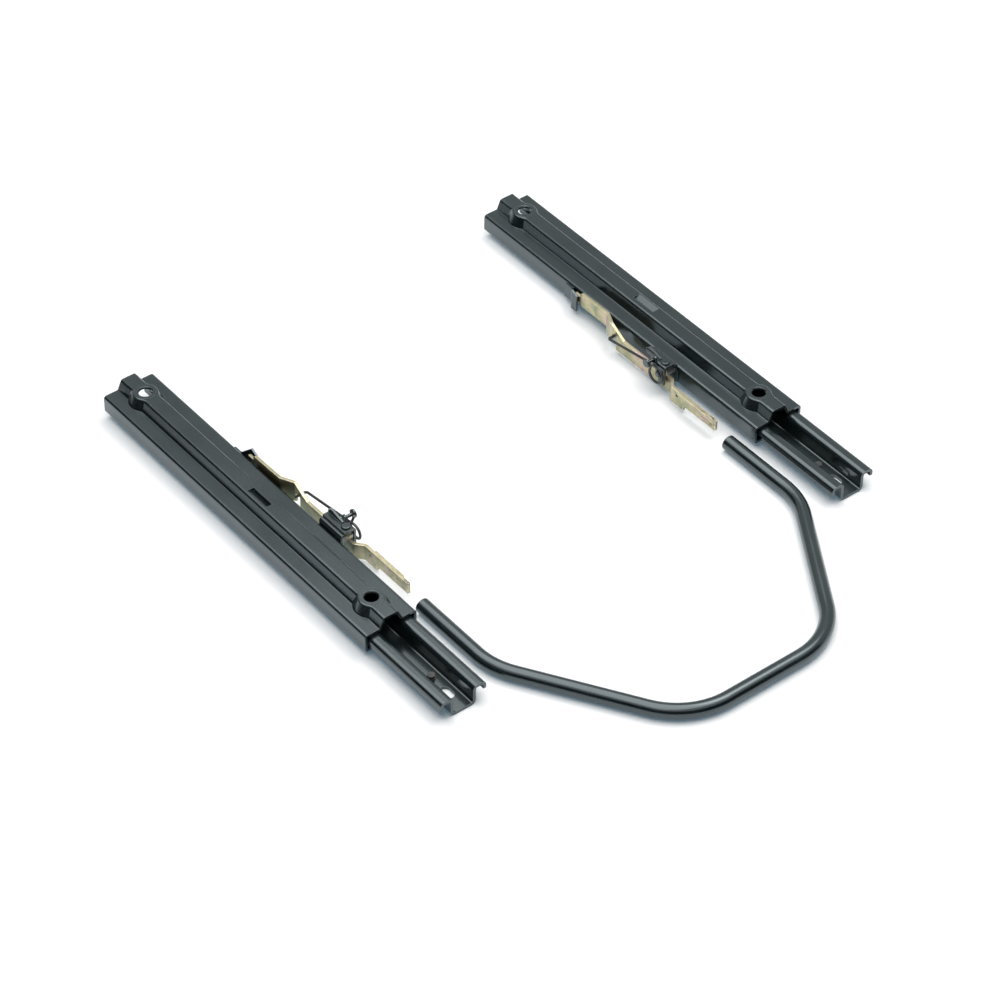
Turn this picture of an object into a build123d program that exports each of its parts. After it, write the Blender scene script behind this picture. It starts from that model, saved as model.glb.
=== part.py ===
"""Universal seat mount: a pair of sliding seat rails and their loose release bar.

Each rail is a hat-section seat track that rolls on a channel-section floor track. A plated
lever on the inner side of each seat track holds it, with teeth that drop out of the floor
track when the front of the lever is raised. The bent bar that joins the two levers lies on
the floor in front of them, in line to be pushed onto their tongues.

Millimetres. The seat faces -Y, +Z is up, the floor is z = 0, and x = 0 is the middle of the
pair. The seat tracks are shown slid fully back, half a notch past the last notch, so the teeth
press against the lip from below and are about to snap in.
"""

import os
from math import acos, asin, atan2, cos, degrees, hypot, pi, radians, sin, sqrt, tan

from build123d import *

os.makedirs("parts", exist_ok=True)

# The pair as it stands on the floor
rail_spacing = 381.0
upper_length = 343.0
lower_length = 343.0
front_reach = 87.0  # floor track in front of the seat track
travel = 180.0

# Seat track section
upper_sheet = 2.0
upper_width = 47.5
shoulder_height = 21.4
skirt_height = 5.0
upper_bend = 1.7
rib_height = 8.8
rib_top_width = 13.0
rib_base_width = 21.6
seat_hole_spacing = 295.0
seat_hole_diameter = 11.0
seat_hole_rim = 0.8
boss_radius = 10.0
boss_length = 32.0
boss_inset = 0.3  # the boss lies this far inside the rib's sides where they part
boss_blend = 8.0
boss_edge = 1.4
ring_radius = 8.6
ring_height = 0.3  # coined ring round each hole, which the seat bears on

# Floor track section
lower_sheet = 2.5
channel_width = 23.0
lower_bend = 3.0
lip_drop = 7.4
side_clearance = 0.75
top_clearance = 1.5
hook_clearance = 3.0
floor_slot_inset = 19.5
floor_slot_length = 13.0
floor_slot_width = 8.5
dimple_inset = 19.0
dimple_length = 14.0
dimple_height = 4.5
dimple_depth = 1.0
dimple_z = 7.5

# Running gear
roller_clearance = 0.15
roller_width = 7.6
roller_edge = 1.0
axle_diameter = 5.0
running_fit = 0.05
cage_sheet = 1.2
cage_height = 10.0
cage_gap = 0.4
axle_head = 0.9
axle_head_diameter = 7.0
stop_tab_length = 24.0
stop_tab_width = 6.4
stop_tab_angle = 24.0
stop_tab_x = -1.5
stop_tab_centre = -8.0
stop_contact = 0.5
stud_diameter = 6.0
stud_height = 3.5
stud_flange = 1.0
shoe_length = 28.0
shoe_clearance = 0.4
shoe_spacing = 125.0
shoe_centre = 2.5

# Lock lever
lever_sheet = 2.5
lever_wall_gap = 2.3
lever_middle_x = 33.1
lever_tongue_x = 38.8
lever_bend = 3.0
comb_bend = 1.8
plate_rear_y = 39.0
plate_front_y = 5.5
jog_length = 12.0
plate_top = 25.0
plate_foot = 12.6
plate_corner = 2.0
strip_top = 17.3
strip_bottom = 3.3
descent_length = 16.0
front_jog_y = -82.0
front_jog_length = 7.0
foot_front_y = -104.0
foot_depth = 0.7
tongue_tip_y = -142.5
tongue_bottom = 7.4
tongue_flange_width = 3.7
tongue_flange_height = 1.8
tongue_flange_rear = -98.5
tongue_flange_front = -133.5
drain_hole_y = -96.0
drain_hole_diameter = 3.2
tail_length = 7.0
tail_height = 6.0
tail_drop = 4.0
jog_rise = 1.0
barb_rear_y = -125.0
barb_length = 9.0
barb_height = 2.5
barb_proud = 0.8
barb_z = 9.6
tooth_pitch = 10.0
tooth_width = 6.0
tooth_count = 3
tooth_reach = 1.2
tooth_gap = 0.35
notch_clearance = 0.7
notch_depth = 3.2
window_front_margin = 4.0
window_rear_margin = 2.0
window_clearance = 2.0

# Pivot of the lock lever
pivot_y = -72.0
pivot_z = 18.9
pivot_diameter = 5.0
pivot_lobe_radius = 4.6
pin_overhang = 2.8
pin_edge = 0.5
bracket_sheet = 1.8
bracket_bend = 1.5
bracket_rear_y = -50.0
bracket_front_y = -77.5
bracket_bottom = 7.0
bracket_lift = 2.4
brace_x = 33.2
brace_rear_z = 29.6
brace_peak_y = -54.0
brace_peak_z = 32.2
brace_front_y = -67.8
brace_front_z = 28.8
strap_x = 37.2
strap_foot = 9.5
leg_width = 10.5
leg_shoulder = 20.0
leg_relief = 10.0
part_gap = 0.3
spacer_diameter = 9.0
rivet_x = 32.6
rivet_y = -72.2
rivet_diameter = 4.0
rivet_head_diameter = 7.4
rivet_head_height = 1.6
rivet_edge = 0.9

# Lever spring
wire_diameter = 2.2
coil_radius = 7.0
coil_turns = 1
coil_pitch = 3.2
coil_gap = 0.8
hook_y = -11.0
hook_notch_top = 17.0
hook_notch_radius = 3.0
hook_inner_x = 29.5
spring_slack = 0.9
arm_level_length = 4.0
arm_bend_radius = 12.0
short_arm_overrun = 3.0
peg_y = -64.2
peg_z = 28.1
peg_diameter = 3.0
peg_head_diameter = 7.4
peg_head_height = 2.0
peg_edge = 0.8
ear_radius = 3.0

# Rear guide of the lever
guide_sheet = 1.7
guide_front_y = 40.5
guide_step_y = 47.0
guide_foot_y = 54.0
guide_rear_y = 62.0
guide_bottom = 6.0
guide_foot_top = 19.0
guide_top = 24.5
guide_front_top = 21.5
guide_x = 30.6

# Release bar
tube_diameter = 12.7
tube_wall = 1.0
tube_bend_radius = 62.0
bar_gap = 15.5
bar_end_length = 84.0
bar_leg_length = 154.0
bar_leg_angle = 32.2

# Where the sections sit, from the sizes above
rail_x = -rail_spacing / 2
wall_x = upper_width / 2
rib_top = shoulder_height + rib_height
ring_top = rib_top + ring_height
lower_height = shoulder_height - upper_sheet - top_clearance
lip_outer = wall_x - upper_sheet - side_clearance
lip_inner = lip_outer - lower_sheet
lip_bottom = lower_height - lip_drop
hook_x = (channel_width / 2 + lip_inner) / 2
hook_top = lower_height - lower_sheet - hook_clearance
roller_room = rib_top - upper_sheet - lower_sheet
roller_radius = roller_room / 2 - roller_clearance
roller_z = lower_sheet + roller_room / 2
bar_front = bar_end_length + bar_leg_length * cos(radians(bar_leg_angle))
bar_end_y = tongue_tip_y - bar_gap

# The frame's y = 0 is halfway between the bar's front and the seat tracks' rear ends
overall_front = bar_end_y - bar_front - tube_diameter / 2
rail_y = -(overall_front + upper_length / 2) / 2
lower_front = rail_y - upper_length / 2 - front_reach
lower_rear = lower_front + lower_length


def across(y):
    """Plane across the left rail at y from its middle, seen from the front."""
    return Plane(origin=(rail_x, rail_y + y, 0), x_dir=(1, 0, 0), z_dir=(0, -1, 0))


def along(x):
    """Upright plane along the left rail at x from its middle, drawn in y and z."""
    return Plane(origin=(rail_x + x, rail_y, 0), x_dir=(0, 1, 0), z_dir=(1, 0, 0))


def above(z):
    """Level plane at height z, drawn in x and y from the left rail's middle."""
    return Plane(origin=(rail_x, rail_y, z))


def both_ways(points):
    """Points of a section's left half, followed by their mirror images."""
    return points + [(-x, z) for x, z in reversed(points)]


# Seat track: one formed sheet with a ribbed top and skirts that hook under the floor track
half_sheet = upper_sheet / 2
skirt_x = wall_x - half_sheet
track_centre_line = both_ways([
    (-hook_x, hook_top),
    (-hook_x, skirt_height + half_sheet),
    (-skirt_x, skirt_height + half_sheet),
    (-skirt_x, shoulder_height - half_sheet),
    (-rib_base_width / 2 + half_sheet, shoulder_height - half_sheet),
    (-rib_top_width / 2 + half_sheet / 2, rib_top - half_sheet),
])
rib_angle = degrees(atan2((rib_base_width - rib_top_width) / 2, rib_height))
wall_run = upper_sheet / cos(radians(rib_angle)) - upper_sheet * tan(radians(rib_angle))
boss_width = rib_top_width - 2 * boss_inset
seat_hole_ys = (-seat_hole_spacing / 2, seat_hole_spacing / 2)

# The stop tab is cut free on three sides and bent down about its outer edge
tab_front = stop_tab_centre - stop_tab_length / 2
tab_drop = stop_tab_width * sin(radians(stop_tab_angle)) + upper_sheet * cos(radians(stop_tab_angle))
tab_low = rib_top - tab_drop

# The teeth pass through a window in the inner skirt
tooth_high = lip_bottom - tooth_gap
tooth_low = tooth_high - lever_sheet
first_tooth_y = (plate_rear_y + plate_front_y - (tooth_count - 1) * tooth_pitch) / 2
tooth_ys = [first_tooth_y + i * tooth_pitch for i in range(tooth_count)]
window_front = plate_front_y - window_front_margin
window_length = plate_rear_y + window_rear_margin - window_front
window_top = tooth_high + window_clearance
window_inner_x = hook_x - upper_sheet


def rib_outline(width, radius, length, blend):
    """Outline of the rib's top, seen from above, with a round boss blended into its sides."""
    Rectangle(width, length)
    Circle(radius)
    corners = [v for v in vertices() if abs(v.Y) < radius]
    fillet(corners, radius=blend)


# A boss is the rib drawn out round a seat hole, with walls as steep as the rib's own
with BuildPart() as rib_boss:
    with BuildSketch(Plane.XY.offset(rib_top)):
        rib_outline(boss_width, boss_radius, boss_length, boss_blend)
    extrude(amount=upper_sheet / 2 - rib_height - upper_sheet, taper=-rib_angle)
    fillet(rib_boss.faces().sort_by(Axis.Z)[-1].outer_wire().edges(), radius=boss_edge)
with BuildPart() as boss_hollow:
    with BuildSketch(Plane.XY.offset(rib_top - upper_sheet)):
        rib_outline(boss_width - 2 * wall_run, boss_radius - wall_run, boss_length + 2 * rib_height, boss_blend)
    extrude(amount=-rib_height - half_sheet, taper=-rib_angle)

with BuildPart() as upper_track:
    with BuildSketch(across(upper_length / 2)):
        with BuildLine():
            FilletPolyline(*track_centre_line, radius=upper_bend)
        trace(line_width=upper_sheet)
    extrude(amount=upper_length)
    with Locations(*[(rail_x, rail_y + hole_y) for hole_y in seat_hole_ys]):
        add(rib_boss.part)
        add(boss_hollow.part, mode=Mode.SUBTRACT)
    with BuildSketch(above(rib_top - half_sheet)):
        with Locations(*[(0, hole_y) for hole_y in seat_hole_ys]):
            Circle(ring_radius)
    extrude(amount=half_sheet + ring_height)
    with BuildSketch(above(ring_top)):
        with Locations(*[(0, hole_y) for hole_y in seat_hole_ys]):
            Circle(seat_hole_diameter / 2)
    extrude(amount=-2 * upper_sheet, mode=Mode.SUBTRACT)
    with BuildSketch(above(ring_top)):
        with Locations(*[(0, hole_y) for hole_y in seat_hole_ys]):
            Circle(seat_hole_diameter / 2 + seat_hole_rim)
    extrude(amount=-seat_hole_rim, taper=45, mode=Mode.SUBTRACT)
    with BuildSketch(above(rib_top)):
        with Locations((stop_tab_x, stop_tab_centre)):
            Rectangle(stop_tab_width, stop_tab_length)
    extrude(amount=-2 * upper_sheet, mode=Mode.SUBTRACT)
    with BuildSketch(across(tab_front)):
        with Locations(Location((stop_tab_x - stop_tab_width / 2, rib_top), -stop_tab_angle)):
            Rectangle(stop_tab_width, upper_sheet, align=(Align.MIN, Align.MAX))
    extrude(amount=-stop_tab_length)
    with BuildSketch(above(skirt_height - upper_sheet)):
        with Locations((window_inner_x, window_front)):
            Rectangle(wall_x, window_length, align=Align.MIN)
    extrude(amount=window_top - skirt_height + upper_sheet, mode=Mode.SUBTRACT)

# Floor track: one formed channel whose flanges turn down into lips; the inner lip is notched
half_lower = lower_sheet / 2
flange_line = lower_height - half_lower
lip_line = lip_outer - half_lower
channel_line = channel_width / 2 - half_lower
floor_slot_ys = (lower_front + floor_slot_inset, lower_rear - floor_slot_inset)
notch_width = tooth_width + 2 * notch_clearance
notch_count = round(travel / tooth_pitch) + tooth_count
notch_rear = tooth_ys[-1] - tooth_pitch / 2

# The studs stop the rollers, just as the seat track's tab meets them
half_chord_at_tab = sqrt(roller_radius**2 - (tab_low - roller_z) ** 2)
stud_top = lower_sheet + stud_height
half_chord_at_stud = sqrt(roller_radius**2 - (stud_top - roller_z) ** 2)
cage_y = stop_tab_centre - travel / 4
roller_spacing = travel / 2 + stop_tab_length + 2 * (half_chord_at_tab + stop_contact)
front_roller_stopped = cage_y - travel / 2 - roller_spacing / 2
rear_roller_stopped = cage_y + roller_spacing / 2
stud_offset = half_chord_at_stud + stop_contact + stud_diameter / 2
stud_ys = (front_roller_stopped - stud_offset, rear_roller_stopped + stud_offset)

with BuildPart() as lower_track:
    with BuildSketch(across(lower_rear - rail_y)):
        with BuildLine():
            FilletPolyline(
                *both_ways([
                    (-lip_line, lip_bottom),
                    (-lip_line, flange_line),
                    (-channel_line, flange_line),
                    (-channel_line, half_lower),
                ]),
                radius=lower_bend,
            )
        trace(line_width=lower_sheet)
    extrude(amount=lower_length)
    with BuildSketch(Plane(origin=(rail_x, 0, 0))):
        with Locations(*[(0, y) for y in floor_slot_ys]):
            SlotOverall(floor_slot_length, floor_slot_width, rotation=90)
    extrude(amount=lower_sheet, mode=Mode.SUBTRACT)
    with BuildSketch(above(0)):
        with Locations(*[(0, y) for y in stud_ys]):
            Circle(stud_diameter / 2)
    extrude(amount=lower_sheet, mode=Mode.SUBTRACT)
    with BuildSketch(above(lip_bottom - notch_depth)):
        with Locations(*[(lip_line, notch_rear - i * tooth_pitch) for i in range(notch_count)]):
            Rectangle(2 * lower_sheet, notch_width)
    extrude(amount=2 * notch_depth, mode=Mode.SUBTRACT)
    with BuildSketch(along(-channel_width / 2)):
        with Locations((lower_front - rail_y + dimple_inset, dimple_z)):
            SlotOverall(dimple_length, dimple_height)
    extrude(amount=dimple_depth, mode=Mode.SUBTRACT)
    with BuildSketch(along(lower_sheet - channel_width / 2)):
        with Locations((lower_front - rail_y + dimple_inset, dimple_z)):
            SlotOverall(dimple_length - lower_sheet, dimple_height - dimple_depth)
    extrude(amount=dimple_depth)

# Stop studs: turned pins riveted into the floor track's web
with BuildPart() as stop_studs:
    with BuildSketch(above(0)):
        with Locations(*[(0, y) for y in stud_ys]):
            Circle(stud_diameter / 2)
    extrude(amount=stud_top)
    with BuildSketch(above(lower_sheet)):
        with Locations(*[(0, y) for y in stud_ys]):
            Circle(stud_diameter / 2 + stud_flange / 2)
    extrude(amount=stud_flange)

# Roller cage: a stamped U strip that carries the two rollers between floor and rib
cage_inner = roller_width / 2 + cage_gap
cage_line = cage_inner + cage_sheet / 2
cage_bottom = roller_z - cage_height / 2
axle_ys = (cage_y - roller_spacing / 2, cage_y + roller_spacing / 2)
with BuildPart() as roller_cage:
    with BuildSketch(across(axle_ys[1] + cage_height / 2)):
        with BuildLine():
            FilletPolyline(
                (-cage_line, roller_z + cage_height / 2),
                (-cage_line, cage_bottom + cage_sheet / 2),
                (cage_line, cage_bottom + cage_sheet / 2),
                (cage_line, roller_z + cage_height / 2),
                radius=cage_sheet,
            )
        trace(line_width=cage_sheet)
    extrude(amount=roller_spacing + cage_height)
    with BuildSketch(along(-cage_line - cage_sheet)):
        with Locations((cage_y, roller_z)):
            SlotCenterToCenter(roller_spacing, cage_height)
        with Locations(*[(y, roller_z) for y in axle_ys]):
            Circle(axle_diameter / 2, mode=Mode.SUBTRACT)
    extrude(amount=2 * (cage_line + cage_sheet), mode=Mode.INTERSECT)
    with BuildSketch(above(cage_bottom)):
        with Locations(*[(0, y) for y in axle_ys]):
            Rectangle(2 * cage_inner, 2 * (roller_radius + 1))
    extrude(amount=2 * cage_sheet, mode=Mode.SUBTRACT)

# Axles: rivets through the cage's two sides, one for each roller
with BuildPart() as roller_axles:
    cage_outer = cage_inner + cage_sheet
    with BuildSketch(along(-cage_outer)):
        with Locations(*[(y, roller_z) for y in axle_ys]):
            Circle(axle_diameter / 2)
    extrude(amount=2 * cage_outer)
    for head_x in (-cage_outer - axle_head, cage_outer):
        with BuildSketch(along(head_x)):
            with Locations(*[(y, roller_z) for y in axle_ys]):
                Circle(axle_head_diameter / 2)
        extrude(amount=axle_head)

# Rollers: turned steel wheels, chamfered to clear the track's bends
rollers = {}
for roller_name, axle_y in zip(("front_roller", "rear_roller"), axle_ys):
    with BuildPart() as roller:
        with BuildSketch(along(-roller_width / 2)):
            with Locations((axle_y, roller_z)):
                Circle(roller_radius)
                Circle(axle_diameter / 2 + running_fit, mode=Mode.SUBTRACT)
        extrude(amount=roller_width)
        rims = roller.edges().filter_by(GeomType.CIRCLE).group_by(SortBy.RADIUS)[-1]
        chamfer(rims, length=roller_edge)
    rollers[roller_name] = roller.part

# Guide shoes: moulded clips on the skirt hooks that steady the floor track's flanges
shoe_outer = lip_inner - shoe_clearance
shoe_inner = channel_width / 2 + shoe_clearance
shoe_top = lower_height - lower_sheet - shoe_clearance
shoe_base = skirt_height + upper_sheet + upper_bend
shoe_rear_ys = [shoe_centre + way * shoe_spacing / 2 + shoe_length / 2 for way in (-1, 1)]
with BuildPart() as guide_shoes:
    for shoe_rear_y in shoe_rear_ys:
        with BuildSketch(across(shoe_rear_y)):
            with BuildLine():
                FilletPolyline(
                    (shoe_inner, shoe_base),
                    (shoe_inner, shoe_top),
                    (shoe_outer, shoe_top),
                    (shoe_outer, shoe_base),
                    (hook_x + half_sheet, shoe_base),
                    (hook_x + half_sheet, hook_top),
                    (hook_x - half_sheet, hook_top),
                    (hook_x - half_sheet, shoe_base),
                    close=True,
                    radius=(0, lower_bend, lower_bend, 0, 0, 0, 0, 0),
                )
            make_face()
            mirror(about=Plane.YZ)
        extrude(amount=shoe_length)

# Lock lever: one long strip on edge, jogged outwards twice, with a row of teeth turned in at
# its rear end and a tongue with a folded top at its front end
lever_rear_x = wall_x + lever_wall_gap + lever_sheet / 2
jog_front_y = plate_front_y - jog_length
descent_front_y = jog_front_y - descent_length
tooth_tip_x = lip_inner - tooth_reach
comb_root_x = lip_outer + part_gap + side_clearance
comb_line = tooth_high - lever_sheet / 2
comb_knee_x = lever_rear_x - (plate_foot - comb_line)
tongue_mid_z = (strip_top + tongue_bottom) / 2
hook_notch_rear = hook_y + hook_notch_radius
hook_notch_front = hook_y - hook_notch_radius
with BuildPart() as lock_lever:
    with BuildSketch(above(0)):
        with BuildLine():
            FilletPolyline(
                (lever_rear_x, plate_rear_y + tail_length),
                (lever_rear_x, plate_front_y),
                (lever_middle_x, jog_front_y),
                (lever_middle_x, front_jog_y),
                (lever_tongue_x, front_jog_y - front_jog_length),
                (lever_tongue_x, tongue_tip_y),
                radius=lever_bend,
            )
        trace(line_width=lever_sheet)
    extrude(amount=2 * plate_top)
    with BuildSketch(along(lever_rear_x - 2 * lever_sheet)):
        with BuildLine():
            FilletPolyline(
                (plate_rear_y, plate_foot),
                (plate_rear_y, plate_top - tail_drop - tail_height),
                (plate_rear_y + tail_length, plate_top - tail_drop - tail_height),
                (plate_rear_y + tail_length, plate_top - tail_drop),
                (plate_rear_y, plate_top - tail_drop),
                (plate_rear_y, plate_top),
                (jog_front_y, plate_top + jog_rise),
                (descent_front_y, strip_top),
                (tongue_tip_y, strip_top),
                (tongue_tip_y, tongue_bottom),
                (foot_front_y, tongue_bottom),
                (foot_front_y, strip_bottom - foot_depth),
                (front_jog_y - front_jog_length, strip_bottom),
                (hook_notch_front, strip_bottom),
                (hook_notch_front, tooth_low),
                (plate_front_y, tooth_low),
                (plate_front_y, plate_foot),
                radius=(0, 0, 0, 0, 0, plate_corner, plate_corner, plate_corner, 0, 0, 0, 0, 0, 0, 0, 0, 0),
                close=True,
            )
        make_face()
        with Locations((pivot_y, pivot_z)):
            Circle(pivot_lobe_radius)
            Circle(pivot_diameter / 2 + running_fit, mode=Mode.SUBTRACT)
        with Locations((drain_hole_y, tongue_mid_z)):
            Circle(drain_hole_diameter / 2, mode=Mode.SUBTRACT)
        with Locations((hook_y, hook_notch_top - hook_notch_radius)):
            Circle(hook_notch_radius, mode=Mode.SUBTRACT)
            Rectangle(2 * hook_notch_radius, plate_top, align=(Align.CENTER, Align.MAX), mode=Mode.SUBTRACT)
    extrude(amount=lever_tongue_x, mode=Mode.INTERSECT)
    with BuildSketch(across(plate_rear_y)):
        with BuildLine():
            FilletPolyline(
                (lever_rear_x, plate_foot + lever_sheet),
                (lever_rear_x, plate_foot),
                (comb_knee_x, comb_line),
                (tooth_tip_x, comb_line),
                radius=comb_bend,
            )
        trace(line_width=lever_sheet)
    extrude(amount=plate_rear_y - plate_front_y)
    with BuildSketch(above(0)):
        with Locations((comb_root_x, plate_front_y)):
            Rectangle(lever_rear_x, plate_rear_y - plate_front_y, align=(Align.MAX, Align.MIN))
        with Locations(*[(comb_root_x, tooth_y) for tooth_y in tooth_ys]):
            Rectangle(lever_rear_x, tooth_width, align=(Align.MAX, Align.CENTER), mode=Mode.SUBTRACT)
    extrude(amount=plate_foot, mode=Mode.SUBTRACT)
    with BuildSketch(above(strip_top)):
        with Locations((lever_tongue_x - lever_sheet / 2, tongue_flange_rear)):
            Rectangle(tongue_flange_width, tongue_flange_rear - tongue_flange_front,
                      align=(Align.MIN, Align.MAX))
    extrude(amount=-tongue_flange_height)
    with BuildSketch(above(barb_z - barb_height / 2)):
        with BuildLine():
            Polyline(
                (lever_tongue_x, barb_rear_y),
                (lever_tongue_x + lever_sheet / 2, barb_rear_y - barb_length),
                (lever_tongue_x + lever_sheet / 2 + barb_proud, barb_rear_y),
                close=True,
            )
        make_face()
    extrude(amount=barb_height)

# Bracket base: an angle welded to the seat track's skirt, its top turned out over the lever
flange_bottom = shoulder_height + bracket_lift
flange_top = flange_bottom + bracket_sheet
half_bracket = bracket_sheet / 2
strap_outer = strap_x + half_bracket
with BuildPart() as pivot_bracket:
    with BuildSketch(across(bracket_rear_y)):
        with BuildLine():
            FilletPolyline(
                (wall_x + half_bracket, bracket_bottom),
                (wall_x + half_bracket, flange_top - half_bracket),
                (brace_x, flange_top - half_bracket),
                radius=bracket_bend,
            )
        trace(line_width=bracket_sheet)
    extrude(amount=bracket_rear_y - bracket_front_y)
    with BuildSketch(along(wall_x)):
        with Locations((pivot_y, pivot_z)):
            Circle(pivot_diameter / 2)
    extrude(amount=bracket_sheet, mode=Mode.SUBTRACT)
    with BuildSketch(above(flange_bottom)):
        with Locations((rivet_x, rivet_y)):
            Circle(rivet_diameter / 2)
    extrude(amount=bracket_sheet, mode=Mode.SUBTRACT)

# Bracket strap: riveted on top of the base. Behind, its edge is turned up as a sloping brace; in
# front, a leg goes down outside the lever for the pivot's other end, with an ear for the peg
strap_top = flange_top + bracket_sheet
strap_line = strap_top - half_bracket
ear_rear_y = peg_y + ear_radius
with BuildPart() as bracket_strap:
    with BuildSketch(across(bracket_rear_y)):
        with BuildLine():
            FilletPolyline(
                (lever_rear_x, strap_line),
                (brace_x, strap_line),
                (brace_x, brace_peak_z),
                radius=bracket_bend,
            )
        trace(line_width=bracket_sheet)
    extrude(amount=bracket_rear_y - brace_front_y)
    with BuildSketch(along(lever_rear_x)):
        with BuildLine():
            Polyline(
                (bracket_rear_y, flange_top),
                (bracket_rear_y, brace_rear_z),
                (brace_peak_y, brace_peak_z),
                (brace_front_y, brace_front_z),
                (brace_front_y, flange_top),
                close=True,
            )
        make_face()
    extrude(amount=strap_outer - lever_rear_x, mode=Mode.INTERSECT)
    with BuildSketch(across(bracket_front_y + leg_width)):
        with BuildLine():
            FilletPolyline(
                (lever_rear_x, strap_line),
                (strap_x, strap_line),
                (strap_x, strap_foot),
                radius=bracket_bend,
            )
        trace(line_width=bracket_sheet)
    extrude(amount=leg_width)
    with BuildSketch(along(strap_x - half_bracket)):
        with Locations((peg_y, peg_z)):
            Circle(ear_radius)
        with Locations((ear_rear_y, leg_shoulder)):
            Rectangle(2 * ear_radius, peg_z - leg_shoulder, align=(Align.MAX, Align.MIN))
    extrude(amount=bracket_sheet)
    with BuildSketch(along(strap_x - half_bracket)):
        with Locations((ear_rear_y, leg_shoulder - leg_relief)):
            Circle(leg_relief)
        with Locations((peg_y, peg_z)):
            Circle(peg_diameter / 2)
        with Locations((pivot_y, pivot_z)):
            Circle(pivot_diameter / 2)
    extrude(amount=bracket_sheet, mode=Mode.SUBTRACT)
    with BuildSketch(above(flange_top)):
        with Locations((rivet_x, rivet_y)):
            Circle(rivet_diameter / 2)
    extrude(amount=bracket_sheet, mode=Mode.SUBTRACT)

# Strap rivet: holds the strap down on the base
with BuildPart() as strap_rivet:
    with BuildSketch(above(flange_bottom)):
        with Locations((rivet_x, rivet_y)):
            Circle(rivet_diameter / 2)
    extrude(amount=strap_top - flange_bottom)
    with BuildSketch(above(strap_top)):
        with Locations((rivet_x, rivet_y)):
            Circle(rivet_head_diameter / 2)
    extrude(amount=rivet_head_height)
    fillet(strap_rivet.faces().sort_by(Axis.Z)[-1].edges(), radius=rivet_edge)

# Pivot pin: riveted into base and strap, its end stands out inside the spring's coil
with BuildPart() as pivot_pin:
    with BuildSketch(along(wall_x)):
        with Locations((pivot_y, pivot_z)):
            Circle(pivot_diameter / 2)
    extrude(amount=strap_outer + pin_overhang - wall_x)
    chamfer(pivot_pin.faces().sort_by(Axis.X)[-1].edges(), length=pin_edge)

# Spacers: a sleeve and a washer on the pin that keep the lever in the middle of the bracket
lever_inner = lever_middle_x - lever_sheet / 2
lever_outer = lever_middle_x + lever_sheet / 2
spacer_spans = (
    (wall_x + bracket_sheet, lever_inner - part_gap),
    (lever_outer + part_gap, strap_x - half_bracket),
)
with BuildPart() as pivot_spacers:
    for near, far in spacer_spans:
        with BuildSketch(along(near)):
            with Locations((pivot_y, pivot_z)):
                Circle(spacer_diameter / 2)
                Circle(pivot_diameter / 2, mode=Mode.SUBTRACT)
        extrude(amount=far - near)

# Spring peg: a headed pin in the strap's ear that holds the spring's short arm
wire_radius = wire_diameter / 2
coil_start_x = strap_outer + coil_gap + wire_radius
peg_distance = hypot(peg_y - pivot_y, peg_z - pivot_z)
arm_to_peg = peg_diameter / 2 + wire_radius + spring_slack
arm_turn = acos((coil_radius + arm_to_peg) / peg_distance)
coil_end_angle = atan2(peg_z - pivot_z, peg_y - pivot_y) - arm_turn
hook_wire_z = hook_notch_top - wire_radius - part_gap
hook_distance = hypot(hook_y - pivot_y, pivot_z - hook_wire_z)
long_arm_slope = atan2(pivot_z - hook_wire_z, hook_y - pivot_y) + asin(coil_radius / hook_distance)
coil_start_angle = pi / 2 - long_arm_slope
coil_length = (coil_turns + (coil_end_angle - coil_start_angle) / (2 * pi)) * coil_pitch
short_arm_length = peg_distance * sin(arm_turn) + short_arm_overrun
arm_drift = short_arm_length * coil_pitch / hypot(coil_pitch, 2 * pi * coil_radius)
peg_head_x = coil_start_x + coil_length + arm_drift + wire_radius + part_gap
with BuildPart() as spring_peg:
    with BuildSketch(along(strap_x - half_bracket)):
        with Locations((peg_y, peg_z)):
            Circle(peg_diameter / 2)
    extrude(amount=peg_head_x - strap_x + half_bracket)
    with BuildSketch(along(peg_head_x)):
        with Locations((peg_y, peg_z)):
            Circle(peg_head_diameter / 2)
    extrude(amount=peg_head_height)
    fillet(spring_peg.faces().sort_by(Axis.X)[-1].edges(), radius=peg_edge)

# Lever spring: one open turn of music wire round the pin; its long arm hooks under the lever
# and lifts the teeth, its short arm bears on the peg
with BuildPart() as lever_spring:
    coil_centre = (rail_x + coil_start_x, rail_y + pivot_y, pivot_z)
    with BuildLine() as upright_coil:
        Helix(pitch=coil_pitch, height=coil_length, radius=coil_radius, center=coil_centre, direction=(1, 0, 0))
    coil = upright_coil.line.rotate(Axis(coil_centre, (1, 0, 0)), -degrees(long_arm_slope))
    long_arm_start = coil @ 0
    short_arm_start = coil @ 1
    with BuildLine() as wire:
        add(coil)
        FilletPolyline(
            long_arm_start,
            long_arm_start - (coil % 0) * arm_level_length,
            (rail_x + coil_start_x, rail_y + hook_y, hook_wire_z),
            (rail_x + hook_inner_x, rail_y + hook_y, hook_wire_z),
            radius=(arm_bend_radius, wire_diameter),
        )
        Line(short_arm_start, short_arm_start + (coil % 1) * short_arm_length)
    wire_path = wire.wire()
    with BuildSketch(Plane(origin=wire_path @ 0, z_dir=wire_path % 0)):
        Circle(wire_radius)
    sweep(path=wire_path)

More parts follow.
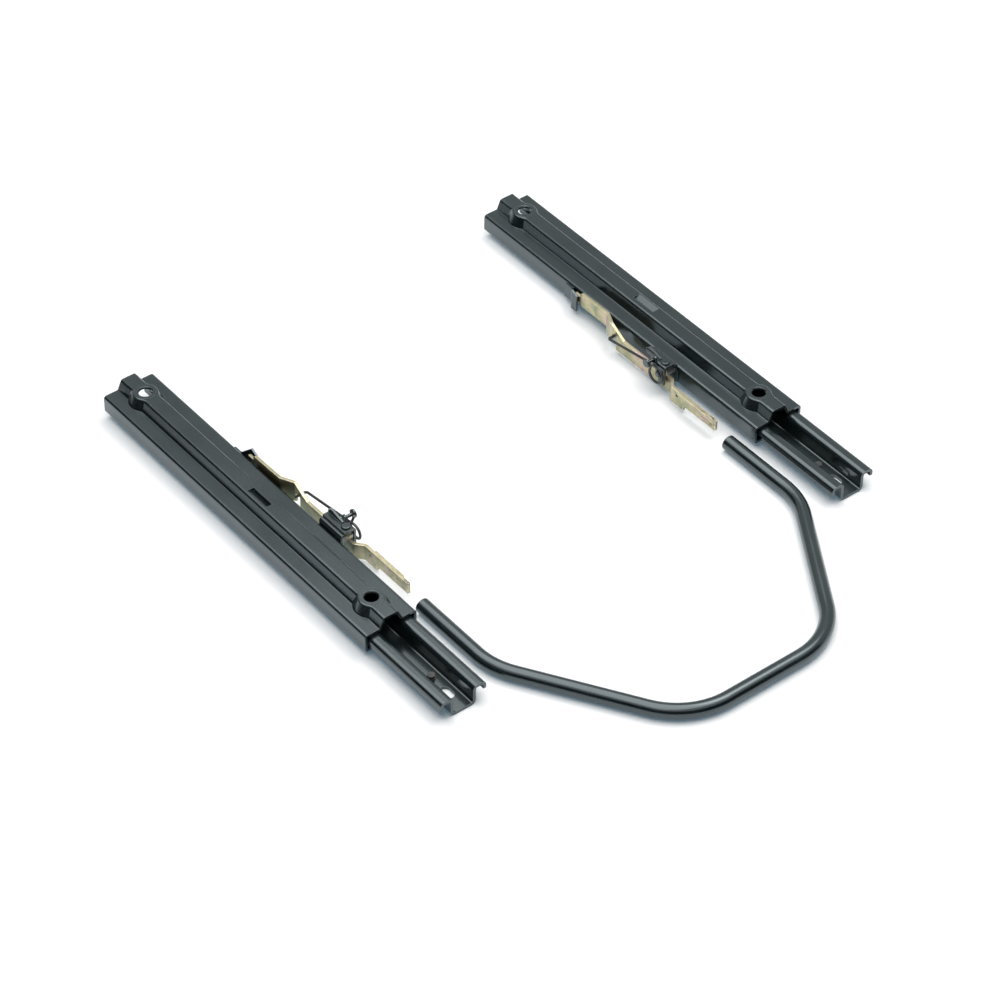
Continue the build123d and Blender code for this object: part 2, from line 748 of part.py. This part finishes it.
# Rear guide: a small joggled plate welded to the skirt, the lever's tail moves behind it
with BuildPart() as lever_guide:
    with BuildSketch(above(guide_bottom)):
        with BuildLine():
            FilletPolyline(
                (wall_x + guide_sheet / 2, guide_rear_y),
                (wall_x + guide_sheet / 2, guide_foot_y),
                (guide_x, guide_step_y),
                (guide_x, guide_front_y),
                radius=guide_sheet,
            )
        trace(line_width=guide_sheet)
    extrude(amount=guide_top - guide_bottom)
    with BuildSketch(along(wall_x)):
        with BuildLine():
            Polyline(
                (guide_rear_y, guide_bottom),
                (guide_rear_y, guide_foot_top),
                (guide_foot_y, guide_foot_top),
                (guide_step_y, guide_top),
                (guide_front_y, guide_front_top),
                (guide_front_y, guide_bottom),
                close=True,
            )
        make_face()
    extrude(amount=guide_x, mode=Mode.INTERSECT)

# Release bar: one bent tube, open at both ends, lying on the floor
bar_half_width = rail_spacing / 2 - lever_tongue_x - tongue_flange_width / 2 + lever_sheet / 2
leg_x = bar_half_width - bar_leg_length * sin(radians(bar_leg_angle))
bar_rear = rail_y + bar_end_y
with BuildPart() as release_bar:
    with BuildLine(Plane.XY.offset(tube_diameter / 2)):
        FilletPolyline(
            (-bar_half_width, bar_rear),
            (-bar_half_width, bar_rear - bar_end_length),
            (-leg_x, bar_rear - bar_front),
            (leg_x, bar_rear - bar_front),
            (bar_half_width, bar_rear - bar_end_length),
            (bar_half_width, bar_rear),
            radius=tube_bend_radius,
        )
    bar_start = Plane(origin=(-bar_half_width, bar_rear, tube_diameter / 2), z_dir=(0, -1, 0))
    with BuildSketch(bar_start):
        Circle(tube_diameter / 2)
        Circle(tube_diameter / 2 - tube_wall, mode=Mode.SUBTRACT)
    sweep()

# The left rail's pieces are written as they stand, the right rail's as their mirror images
rail_pieces = {
    "upper_track": upper_track.part,
    "lower_track": lower_track.part,
    "stop_studs": stop_studs.part,
    "roller_cage": roller_cage.part,
    "roller_axles": roller_axles.part,
    "front_roller": rollers["front_roller"],
    "rear_roller": rollers["rear_roller"],
    "guide_shoes": guide_shoes.part,
    "lock_lever": lock_lever.part,
    "pivot_bracket": pivot_bracket.part,
    "bracket_strap": bracket_strap.part,
    "strap_rivet": strap_rivet.part,
    "pivot_pin": pivot_pin.part,
    "pivot_spacers": pivot_spacers.part,
    "spring_peg": spring_peg.part,
    "lever_spring": lever_spring.part,
    "lever_guide": lever_guide.part,
}
for piece_name, piece in rail_pieces.items():
    with BuildPart() as left_piece:
        add(piece)
    left_piece.part.label = f"left_{piece_name}"
    export_step(left_piece.part, f"parts/left_{piece_name}.step")
    with BuildPart() as right_piece:
        mirror(piece, about=Plane.YZ)
    right_piece.part.label = f"right_{piece_name}"
    export_step(right_piece.part, f"parts/right_{piece_name}.step")

release_bar.part.label = "release_bar"
export_step(release_bar.part, "parts/release_bar.step")
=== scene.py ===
"""Looks of a pair of sliding seat rails and their loose release bar, in metres.

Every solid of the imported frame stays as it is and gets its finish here. Weld beads, which the
drawing leaves out, are added as meshes. The sections follow the set as it is put together.
"""

from math import cos, pi, radians, sin

import bpy
from mathutils import Matrix, Vector


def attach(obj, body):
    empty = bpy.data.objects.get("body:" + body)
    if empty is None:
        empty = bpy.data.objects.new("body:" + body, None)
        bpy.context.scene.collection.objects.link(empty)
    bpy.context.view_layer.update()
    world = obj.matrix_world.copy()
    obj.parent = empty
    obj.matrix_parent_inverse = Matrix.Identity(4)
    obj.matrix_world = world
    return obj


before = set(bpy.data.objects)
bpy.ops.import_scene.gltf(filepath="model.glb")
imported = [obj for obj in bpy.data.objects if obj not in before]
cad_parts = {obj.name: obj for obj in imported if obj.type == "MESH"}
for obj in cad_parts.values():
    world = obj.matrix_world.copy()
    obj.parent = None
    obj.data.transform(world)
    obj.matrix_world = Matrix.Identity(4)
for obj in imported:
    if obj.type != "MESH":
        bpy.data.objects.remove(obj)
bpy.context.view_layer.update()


# Camera: a long lens high up in front of the left rail, as the set was photographed
looked_at = Vector((-0.0280, 0.0075, 0.0))
distance = 2.893
azimuth = radians(-38.90)
elevation = radians(42.07)
roll = radians(0.80)
focal_length = 134.8  # mm
sensor_width = 36.0  # mm
sight = 50.0

back = Vector((sin(azimuth) * cos(elevation), -cos(azimuth) * cos(elevation), sin(elevation)))
right = Vector((cos(azimuth), sin(azimuth), 0.0))
up = back.cross(right)
rolled_right = right * cos(roll) + up * sin(roll)
rolled_up = up * cos(roll) - right * sin(roll)

camera = bpy.data.objects.new("camera", bpy.data.cameras.new("camera"))
camera.data.lens = focal_length
camera.data.sensor_width = sensor_width
camera.data.clip_end = sight
camera.matrix_world = Matrix.Translation(looked_at + back * distance) @ Matrix(
    (rolled_right, rolled_up, back)
).transposed().to_4x4()
bpy.context.scene.collection.objects.link(camera)
bpy.context.scene.camera = camera
bpy.context.scene.view_settings.view_transform = "Standard"


# Studio: a white table under a wide soft light overhead and a smaller one behind at the right,
# with dark and grey drapes round them for the gloss to show
class Shade:
    """A value, colour or vector on its way through a material's nodes."""

    def __init__(self, tree, socket=None):
        self.tree = tree
        self.socket = socket

    def make(self, kind, inputs=None, output=0, stops=None, **settings):
        """The output of a new node; inputs are named or numbered, and are values or links."""
        node = self.tree.nodes.new(kind)
        for name, value in settings.items():
            setattr(node, name, value)
        if stops:
            while len(node.color_ramp.elements) < len(stops):
                node.color_ramp.elements.new(1.0)
            for element, (position, colour) in zip(node.color_ramp.elements, stops):
                element.position = position
                element.color = colour
        for name, value in (inputs or {}).items():
            if isinstance(value, Shade):
                self.tree.links.new(value.socket, node.inputs[name])
            else:
                node.inputs[name].default_value = value
        return Shade(self.tree, node.outputs[output] if node.outputs else None)

    def maths(self, operation, first, second):
        return self.make("ShaderNodeMath", {0: first, 1: second}, operation=operation)

    def __add__(self, other):
        return self.maths("ADD", self, other)

    def __radd__(self, other):
        return self.maths("ADD", other, self)

    def __sub__(self, other):
        return self.maths("SUBTRACT", self, other)

    def __rsub__(self, other):
        return self.maths("SUBTRACT", other, self)

    def __mul__(self, other):
        return self.maths("MULTIPLY", self, other)

    def __rmul__(self, other):
        return self.maths("MULTIPLY", other, self)

    def between(self, low, high):
        """0 at low, 1 at high, and kept within them."""
        return self.make("ShaderNodeMapRange", {"Value": self, "From Min": low, "From Max": high})

    def blend(self, first, second):
        """A colour from first to second, as this value goes from 0 to 1."""
        return self.make("ShaderNodeMix", {0: self, 6: first, 7: second}, output=2, data_type="RGBA")

    def surface(self):
        """Makes this shader the material's surface."""
        self.make("ShaderNodeOutputMaterial", {"Surface": self})


def material(name):
    """A new material and the Shade that its nodes start from."""
    new = bpy.data.materials.new(name)
    new.use_nodes = True
    new.node_tree.nodes.clear()
    return new, Shade(new.node_tree)


def glossy_ray(shade):
    """1 for rays that come off gloss."""
    return shade.make("ShaderNodeLightPath", output="Is Glossy Ray")


def seen_directly(shade):
    """1 for rays that show the studio as it is: from the camera, off gloss and through glass."""
    camera_ray = shade.make("ShaderNodeLightPath", output="Is Camera Ray")
    through_ray = shade.make("ShaderNodeLightPath", output="Is Transmission Ray")
    return shade.maths("MAXIMUM", camera_ray, shade.maths("MAXIMUM", glossy_ray(shade), through_ray))


world = bpy.data.worlds.new("studio")
bpy.context.scene.world = world
world.use_nodes = True
world.node_tree.nodes.clear()
sky = Shade(world.node_tree)
sky_light = 0.36  # what the sky gives the matt surfaces
sky_blue = (0.86, 0.94, 1.0, 1.0)
white = (1.0, 1.0, 1.0, 1.0)
backdrop = sky.make(
    "ShaderNodeBackground",
    {
        "Color": seen_directly(sky).blend(sky_blue, white),
        "Strength": sky_light + (1.0 - sky_light) * seen_directly(sky),
    },
)
sky.make("ShaderNodeOutputWorld", {"Surface": backdrop})


def sheet(name, corners, faces, look):
    """A bare sheet of the studio."""
    mesh = bpy.data.meshes.new(name)
    mesh.from_pydata([tuple(corner) for corner in corners], [], faces)
    mesh.materials.append(look)
    thing = bpy.data.objects.new(name, mesh)
    bpy.context.scene.collection.objects.link(thing)
    return thing


# The table's edge runs just outside the picture's left side, and dark ground lies beyond it
edge_start = Vector((-0.655, -0.137, -0.0002))
edge_way = Vector((0.549, 0.836, 0.0))
outwards = Vector((-0.836, 0.549, 0.0))
near, far = edge_start - edge_way * 4.0, edge_start + edge_way * 5.0
table_depth = 7.0
ground_depth = 4.0

# The table's faint blue glow lifts it to white for the camera and a little past that in gloss
table_paint, shade = material("table_paint")
matt = shade.make("ShaderNodeBsdfDiffuse", {"Color": (0.93, 0.89, 0.86, 1.0)})
glossy_lift = 1.2
glow = shade.make(
    "ShaderNodeEmission",
    {
        "Color": (0.07, 0.11, 0.14, 1.0),
        "Strength": seen_directly(shade) + glossy_lift * glossy_ray(shade),
    },
)
shade.make("ShaderNodeAddShader", {0: matt, 1: glow}).surface()
sheet(
    "table",
    (near, near - outwards * table_depth, far - outwards * table_depth, far),
    [(0, 1, 2, 3)],
    table_paint,
)

dark_cloth, shade = material("dark_cloth")
shade.make("ShaderNodeBsdfDiffuse", {"Color": (0.004, 0.004, 0.004, 1.0)}).surface()
grey_cloth, shade = material("grey_cloth")
shade.make("ShaderNodeEmission", {"Color": (0.59, 0.62, 0.62, 1.0)}).surface()
ground = sheet(
    "dark_ground",
    (near, far, far + outwards * ground_depth, near + outwards * ground_depth),
    [(0, 1, 2, 3)],
    dark_cloth,
)
ground.visible_camera = False

drape_radius = 3.6
drape_panels = 24


def drape(name, start, end, height, look):
    """A curtain that no camera sees, from one azimuth to another, in degrees from +X."""
    turns = [radians(start + (end - start) * i / drape_panels) for i in range(drape_panels + 1)]
    hem = [(drape_radius * cos(turn), drape_radius * sin(turn), 0.0) for turn in turns]
    faces = [(i, i + 1, i + drape_panels + 2, i + drape_panels + 1) for i in range(drape_panels)]
    curtain = sheet(name, hem + [(x, y, height) for x, y, z in hem], faces, look)
    curtain.visible_camera = False


drape("dark_drape", start=105, end=325, height=2.8, look=dark_cloth)
drape("grey_drape", start=-35, end=105, height=4.2, look=grey_cloth)


def soft_box(name, place, aim, width, height, radiance):
    """An area lamp at place that faces aim."""
    lamp = bpy.data.lights.new(name, "AREA")
    lamp.shape = "RECTANGLE"
    lamp.size = width
    lamp.size_y = height
    lamp.energy = radiance * pi * width * height
    holder = bpy.data.objects.new(name, lamp)
    holder.location = place
    holder.rotation_euler = (Vector(place) - Vector(aim)).to_track_quat("Z", "Y").to_euler()
    bpy.context.scene.collection.objects.link(holder)


soft_box(
    "overhead", place=(-0.05, 0.35, 2.60), aim=(-0.05, 0.35, 0.0), width=3.1, height=3.3, radiance=2.5
)
soft_box("key", place=(1.03, -0.10, 1.94), aim=(0.0, 0.0, 0.0), width=0.9, height=0.9, radiance=3.4)


# Seat tracks: steel sheet rolled to a hat section with pressed bosses round its holes, and
# painted a satin black after that; the paint has a fine orange peel, a few specks of dust in
# it, and pulls thin over cut edges; the folds carry a painted highlight
paint, shade = material("black_paint")
place = shade.make("ShaderNodeTexCoord", output="Object")


def noise(place, per_metre, detail=2.0, roughness=0.5):
    """Cloudy noise about 0.5, with so many bumps to the metre."""
    return place.make(
        "ShaderNodeTexNoise",
        {"Vector": place, "Scale": per_metre, "Detail": detail, "Roughness": roughness},
    )


def rounded_to(shade, radius, samples):
    """The normal that the edges would have if they were rounded to a radius."""
    return shade.make("ShaderNodeBevel", {"Radius": radius}, samples=samples)


def turned_by(rounded):
    """How far a rounded normal leaves the face's own: 0 on the flat."""
    face = rounded.make("ShaderNodeNewGeometry", output="Normal")
    along = rounded.make(
        "ShaderNodeVectorMath", {0: rounded, 1: face}, output="Value", operation="DOT_PRODUCT"
    )
    return 1.0 - along


peel = noise(place, per_metre=700.0)
patches = noise(place, per_metre=28.0, detail=4.0)
specks = noise(place, per_metre=2600.0, detail=1.0).between(0.70, 0.78)
cut_edge = rounded_to(shade, radius=0.0004, samples=4)
fold = rounded_to(shade, radius=0.0012, samples=6)
thin_at_edge = turned_by(cut_edge).between(0.02, 0.25)
fold_highlight = turned_by(fold).between(0.004, 0.06)

deep_black = (0.0055, 0.0095, 0.0105, 1.0)
dusty_black = (0.011, 0.016, 0.017, 1.0)
# grey for the dust specks and worn cut edges, and for the painted highlight along the folds
worn_and_highlight_grey = (0.080, 0.092, 0.096, 1.0)
colour = patches.between(0.35, 0.70).blend(deep_black, dusty_black)
colour = (specks * 0.35).blend(colour, worn_and_highlight_grey)
# Painted highlight: every fold, convex or hollow, is lightened towards grey
colour = (fold_highlight * 0.55).blend(colour, worn_and_highlight_grey)
colour = (thin_at_edge * patches.between(0.30, 0.60) * 0.75).blend(colour, worn_and_highlight_grey)
shade.make(
    "ShaderNodeBsdfPrincipled",
    {
        "Base Color": colour,
        "Roughness": 0.16 + 0.10 * patches + 0.10 * specks,
        "Normal": shade.make(
            "ShaderNodeBump", {"Strength": 0.10, "Distance": 0.0002, "Height": peel, "Normal": cut_edge}
        ),
        "Specular IOR Level": 0.94,
        "Specular Tint": (0.84, 0.97, 1.0, 1.0),
    },
).surface()

sides = ("left", "right")


def finish(node, look):
    """Gives a solid of the frame its finish."""
    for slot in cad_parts[node].material_slots:
        slot.material = look


for side in sides:
    finish(f"{side}_upper_track", paint)

# Floor tracks: channels rolled from thicker sheet with their lips turned down over the seat
# tracks' hooks, and painted alike
for side in sides:
    finish(f"{side}_lower_track", paint)

# Stop studs: turned steel pins riveted into the floor tracks' webs, black from oil as the
# springs' hard drawn wire is
wire, shade = material("spring_wire")
place = shade.make("ShaderNodeTexCoord", output="Object")
drawing_marks = noise(place, per_metre=1800.0)
smear = noise(place, per_metre=90.0, detail=3.0)
oil_black = (0.040, 0.043, 0.045, 1.0)
rubbed_grey = (0.10, 0.10, 0.098, 1.0)
shade.make(
    "ShaderNodeBsdfPrincipled",
    {
        "Base Color": smear.between(0.40, 0.70).blend(oil_black, rubbed_grey),
        "Roughness": 0.34 + 0.16 * smear,
        "Metallic": 0.5,
        "Normal": shade.make(
            "ShaderNodeBump", {"Strength": 0.12, "Distance": 0.0001, "Height": drawing_marks}
        ),
    },
).surface()
for side in sides:
    finish(f"{side}_stop_studs", wire)

# Rollers: turned steel wheels on riveted axles in a stamped cage, which run between the two
# tracks and are left bare under their grease
steel, shade = material("bare_steel")
place = shade.make("ShaderNodeTexCoord", output="Object")
round_the_axle = shade.make("ShaderNodeMapping", {"Vector": place, "Scale": (12.0, 1.0, 1.0)})
tool_marks = noise(round_the_axle, per_metre=320.0, detail=3.0)
stains = noise(place, per_metre=60.0, detail=4.0)
clean_steel = (0.50, 0.50, 0.49, 1.0)
stained_steel = (0.33, 0.32, 0.30, 1.0)
shade.make(
    "ShaderNodeBsdfPrincipled",
    {
        "Base Color": stains.between(0.35, 0.75).blend(clean_steel, stained_steel),
        "Roughness": 0.30 + 0.22 * stains,
        "Metallic": 1.0,
        "Normal": shade.make(
            "ShaderNodeBump", {"Strength": 0.12, "Distance": 0.0001, "Height": tool_marks}
        ),
    },
).surface()
for side in sides:
    for node in ("roller_cage", "roller_axles", "front_roller", "rear_roller"):
        finish(f"{side}_{node}", steel)

# Guide shoes: clips moulded in natural nylon and pushed onto the edges of the skirts, where
# they keep the seat track centred in the floor track
nylon, shade = material("nylon")
place = shade.make("ShaderNodeTexCoord", output="Object")
grain = noise(place, per_metre=900.0, detail=3.0)
tint = noise(place, per_metre=45.0)
fresh_nylon = (0.72, 0.70, 0.62, 1.0)
aged_nylon = (0.62, 0.60, 0.52, 1.0)
shade.make(
    "ShaderNodeBsdfPrincipled",
    {
        "Base Color": tint.blend(fresh_nylon, aged_nylon),
        "Roughness": 0.42 + 0.12 * grain,
        "Normal": shade.make(
            "ShaderNodeBump", {"Strength": 0.10, "Distance": 0.0001, "Height": grain}
        ),
    },
).surface()
for side in sides:
    finish(f"{side}_guide_shoes", nylon)

# Lock levers: steel strip pressed to shape, zinc plated and passivated a pale yellow that
# drifts to pink and green; each hangs on a pin beside its rail, and the bar is pushed onto
# its tongue, which rubs the plating
zinc, shade = material("yellow_zinc")
place = shade.make("ShaderNodeTexCoord", output="Object")
drift = noise(place, per_metre=46.0, detail=3.0, roughness=0.6)
green = (0.27, 0.29, 0.18, 1.0)
yellow = (0.43, 0.39, 0.23, 1.0)
straw = (0.51, 0.44, 0.29, 1.0)
pink = (0.54, 0.37, 0.32, 1.0)
dull_olive = (0.20, 0.21, 0.13, 1.0)
grime_brown = (0.085, 0.085, 0.055, 1.0)
rubbed_brown = (0.070, 0.068, 0.048, 1.0)
shade_brown = (0.060, 0.056, 0.038, 1.0)
highlight_zinc = (0.94, 0.92, 0.83, 1.0)
colour = drift.make(
    "ShaderNodeValToRGB",
    {"Fac": drift},
    stops=((0.32, green), (0.44, yellow), (0.56, straw), (0.66, pink)),
)
cloud = noise(place, per_metre=150.0, detail=4.0)
colour = (cloud.between(0.50, 0.80) * 0.55).blend(colour, dull_olive)
grime = noise(place, per_metre=380.0, detail=3.0, roughness=0.6)
colour = (grime.between(0.60, 0.70) * 0.60).blend(colour, grime_brown)

tongue_rear, tongue_front = -0.004, -0.032
on_tongue = shade.make("ShaderNodeSeparateXYZ", {"Vector": place}, output="Y").between(
    tongue_rear, tongue_front
)
along_tongue = shade.make("ShaderNodeMapping", {"Vector": place, "Scale": (1.0, 0.30, 1.0)})
rubs = noise(along_tongue, per_metre=620.0, detail=3.0, roughness=0.6)
colour = (rubs.between(0.50, 0.62) * on_tongue * 0.80).blend(colour, rubbed_brown)

# Painted shade: the lever is darkened to brown in its nooks and creases, where ambient occlusion finds
# them
painted_nook_shade = 1.0 - shade.make("ShaderNodeAmbientOcclusion", {"Distance": 0.004}, output="AO", samples=8)
colour = (painted_nook_shade.between(0.20, 0.75) * 0.80).blend(colour, shade_brown)
edge = rounded_to(shade, radius=0.0007, samples=6)
# Painted highlight: every edge and fold of the lever is lightened towards pale zinc
colour = (turned_by(edge).between(0.01, 0.12) * 0.85).blend(colour, highlight_zinc)

along_strip = shade.make("ShaderNodeMapping", {"Vector": place, "Scale": (1.0, 0.08, 1.0)})
rolling_marks = noise(along_strip, per_metre=1500.0)
shade.make(
    "ShaderNodeBsdfPrincipled",
    {
        "Base Color": colour,
        "Roughness": 0.26 + 0.20 * cloud,
        "Metallic": 0.92,
        "Normal": shade.make(
            "ShaderNodeBump",
            {"Strength": 0.08, "Distance": 0.0001, "Height": rolling_marks, "Normal": edge},
        ),
    },
).surface()
for side in sides:
    finish(f"{side}_lock_lever", zinc)

# Pivot brackets: a pressed angle welded to each seat track and a strap riveted on top of it,
# with the lever's pin between their legs and the spring's peg outside, all painted with the
# track; the spacers on the pin are bare
for side in sides:
    for node in ("pivot_bracket", "bracket_strap", "strap_rivet", "pivot_pin", "spring_peg"):
        finish(f"{side}_{node}", paint)
    finish(f"{side}_pivot_spacers", steel)

# Rear guides: small joggled plates welded to the seat tracks, which keep the levers' rear ends
# beside the rails, painted with the track
for side in sides:
    finish(f"{side}_lever_guide", paint)

# Welds: short upright runs in the corners between the seat track and the edges of the brackets
# and guides, rippled as the welding wire was fed, and painted over
inner_wall = 0.16675  # of the seat tracks' skirts, from the middle of the set
sunk = 0.0003
weld_radius = 0.0013
ripple_spacing = 0.0011
ripple_depth = 0.20
weld_rings = 44
ring_points = 12
bracket_front, bracket_rear, guide_rear = 0.0258, 0.0539, 0.1659
bracket_weld = (0.0085, 0.0175)
guide_weld = (0.0075, 0.0165)


def bead(name, start, end):
    """A closed round bead from start to end, with ripples along it and domed ends."""
    run = end - start
    way = run.normalized()
    across = way.orthogonal().normalized()
    along = way.cross(across)
    corners = [start]
    for i in range(1, weld_rings):
        gone = run.length * i / weld_rings
        dome = min(1.0, gone / weld_radius, (run.length - gone) / weld_radius) ** 0.5
        ripple = 1.0 - ripple_depth + ripple_depth * abs(sin(pi * gone / ripple_spacing))
        size = weld_radius * dome * ripple
        for j in range(ring_points):
            turn = 2 * pi * j / ring_points
            corners.append(start + way * gone + (across * cos(turn) + along * sin(turn)) * size)
    corners.append(end)
    last_ring = 1 + (weld_rings - 2) * ring_points
    faces = []
    for j in range(ring_points):
        k = (j + 1) % ring_points
        faces.append((0, 1 + k, 1 + j))
        for low in range(1, last_ring, ring_points):
            high = low + ring_points
            faces.append((low + j, low + k, high + k, high + j))
        faces.append((last_ring + j, last_ring + k, len(corners) - 1))
    mesh = bpy.data.meshes.new(name)
    mesh.from_pydata([tuple(corner) for corner in corners], [], faces)
    mesh.polygons.foreach_set("use_smooth", [True] * len(faces))
    mesh.materials.append(paint)
    weld = bpy.data.objects.new(name, mesh)
    bpy.context.scene.collection.objects.link(weld)
    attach(weld, "seat_tracks")


for side, hand in zip(sides, (-1.0, 1.0)):
    x = hand * (inner_wall - sunk)
    for seam, y, (bottom, top) in (
        ("bracket_front", bracket_front, bracket_weld),
        ("bracket_rear", bracket_rear, bracket_weld),
        ("guide_rear", guide_rear, guide_weld),
    ):
        bead(f"{side}_{seam}_weld", Vector((x, y, bottom)), Vector((x, y, top)))

# Lever springs: one open turn of hard drawn wire round each pivot pin, with a short arm
# against the peg and a long arm hooked under the lever
for side in sides:
    finish(f"{side}_lever_spring", wire)

# Release bar: bent steel tube with the same black paint, cut square at both ends, which lies
# loose in front of the rails
finish("release_bar", paint)
